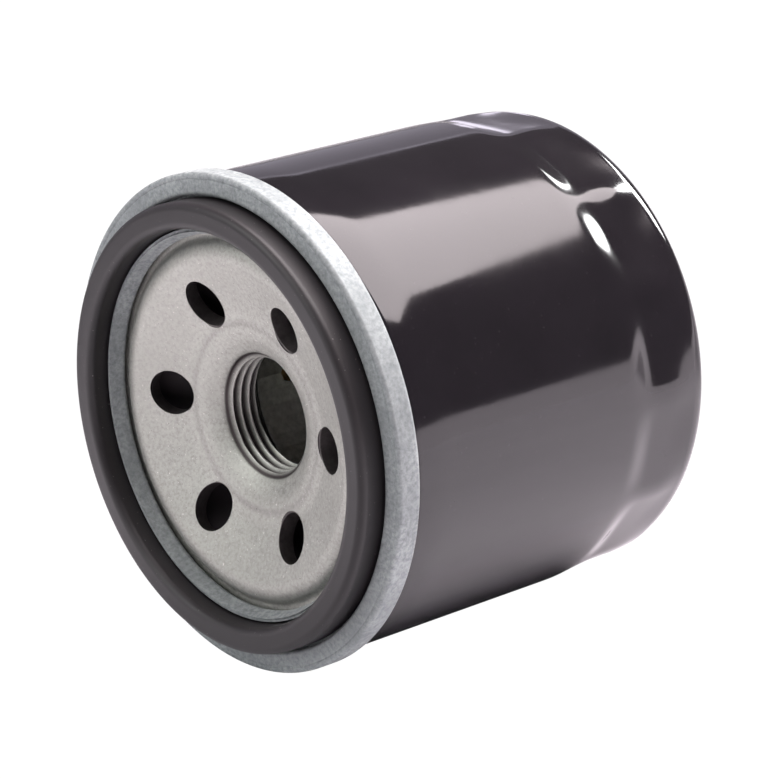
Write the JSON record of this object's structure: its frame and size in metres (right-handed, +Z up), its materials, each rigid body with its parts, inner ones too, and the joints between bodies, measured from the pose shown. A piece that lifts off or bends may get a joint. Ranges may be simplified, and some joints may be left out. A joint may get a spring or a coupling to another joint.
{
  "type": "oil filter",
  "caption": "Spin-on canister oil filter with a threaded base plate, inlet holes round it, a ring gasket, and pressed wrench flats at its closed end.",
  "frame": {"origin": "on the filter's axis, in the plane of the gasket's sealing face, where the engine's threaded stud comes in", "axes": "-Y looks out of the mounting face along the stud, +Y points to the closed end, +Z is up with the filter lying on its side"},
  "size_m": [0.076, 0.068, 0.076],
  "materials": {
    "black_paint": "gloss",
    "zinc_plate": "satin",
    "plate_steel": "matte",
    "gasket_rubber": "satin",
    "valve_rubber": "matte",
    "compound": "matte",
    "tinplate": "satin",
    "spring_steel": "satin",
    "filter_paper": "matte",
    "potting": "satin",
    "nylon": "satin"
  },
  "bodies": {
    "housing": {"can": "black_paint", "seaming_lid": "zinc_plate", "seaming_compound": "compound", "base_plate": "plate_steel", "sealing_gasket": "gasket_rubber", "support_spring": "spring_steel"},
    "element": {"front_end_cap": "tinplate", "front_potting": "potting", "filter_media": "filter_paper", "media_seam_clip": "tinplate", "centre_tube": "tinplate", "rear_potting": "potting", "rear_end_cap": "tinplate", "bypass_seat": "tinplate", "bypass_cage": "tinplate", "bypass_spring": "spring_steel"},
    "drainback_valve": {"anti_drainback_valve": "valve_rubber"},
    "bypass_valve": {"bypass_piston": "nylon", "bypass_seal": "valve_rubber"}
  },
  "joints": [
    {"name": "element_float", "type": "slide", "parent": "housing", "child": "element", "axis": [0, 1, 0], "range_m": [0, 0.0008], "stiffness_N_per_m": 8000, "deforming": ["support_spring"]},
    {"name": "drainback_lift", "type": "slide", "parent": "housing", "child": "drainback_valve", "axis": [0, 1, 0], "range_m": [0, 0.0012], "stiffness_N_per_m": 400},
    {"name": "bypass_lift", "type": "slide", "parent": "element", "child": "bypass_valve", "axis": [0, -1, 0], "range_m": [0, 0.004], "stiffness_N_per_m": 1500, "deforming": ["bypass_spring"]}
  ]
}
